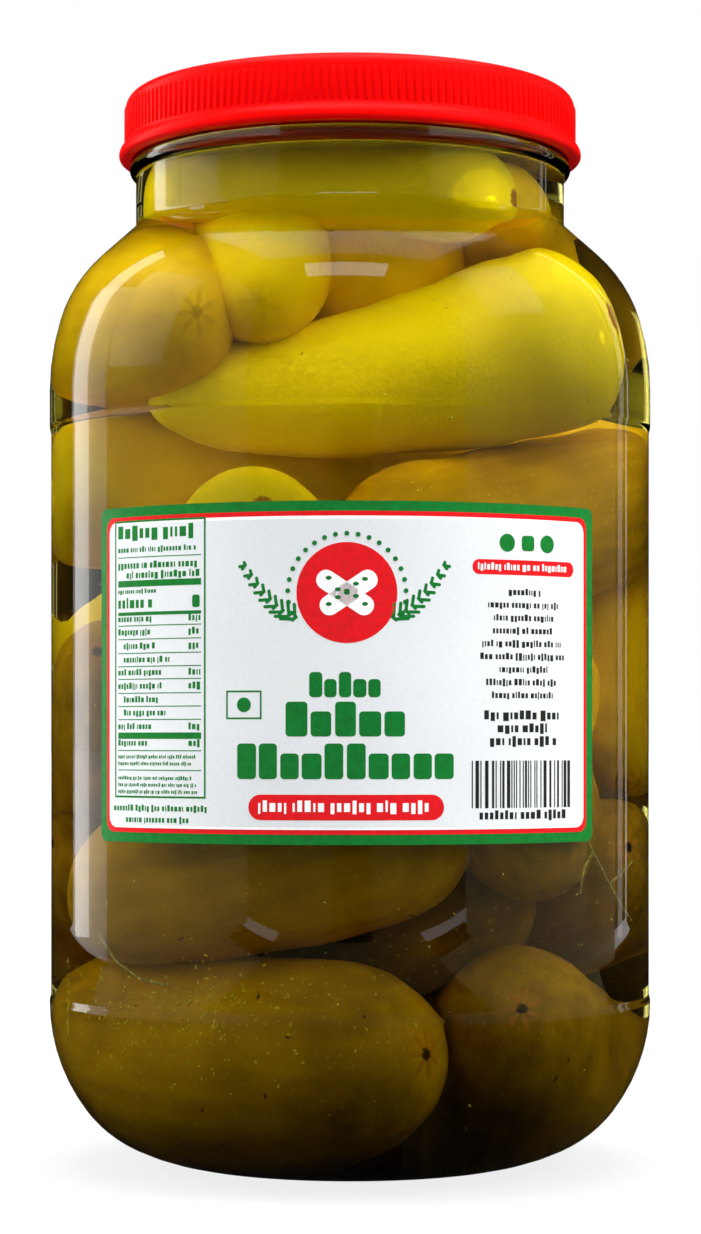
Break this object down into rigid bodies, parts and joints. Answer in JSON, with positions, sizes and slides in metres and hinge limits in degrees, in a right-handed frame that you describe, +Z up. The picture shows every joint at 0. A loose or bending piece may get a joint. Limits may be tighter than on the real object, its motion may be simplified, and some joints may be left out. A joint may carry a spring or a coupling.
{
  "type": "pickle jar",
  "caption": "Large clear glass jar of whole dill pickles in brine, with a red ribbed screw lid and a white wrap label with a green and red border.",
  "frame": {"origin": "middle of the base, at the height the jar stands on", "axes": "+Z up along the jar's axis, -Y out of the middle of the label's side, +X to the right seen from the label's side"},
  "size_m": [0.1518, 0.1518, 0.2692],
  "materials": {
    "clear_glass": "clear, glossy",
    "red_plastic": "moulded, glossy",
    "pickle_brine": "clear yellow-green liquid, slightly cloudy, with pickles",
    "label_paper": "printed coated paper, satin",
    "green_ink": "printed, satin",
    "red_ink": "printed, satin",
    "black_ink": "printed, satin",
    "pickle": "wet cucumber skin, smooth with low bumps",
    "dill": "dull, wet"
  },
  "bodies": {
    "root": {"glass_jar": "clear_glass", "screw_lid": "red_plastic", "brine": "pickle_brine", "label": "label_paper"}
  },
  "joints": []
}
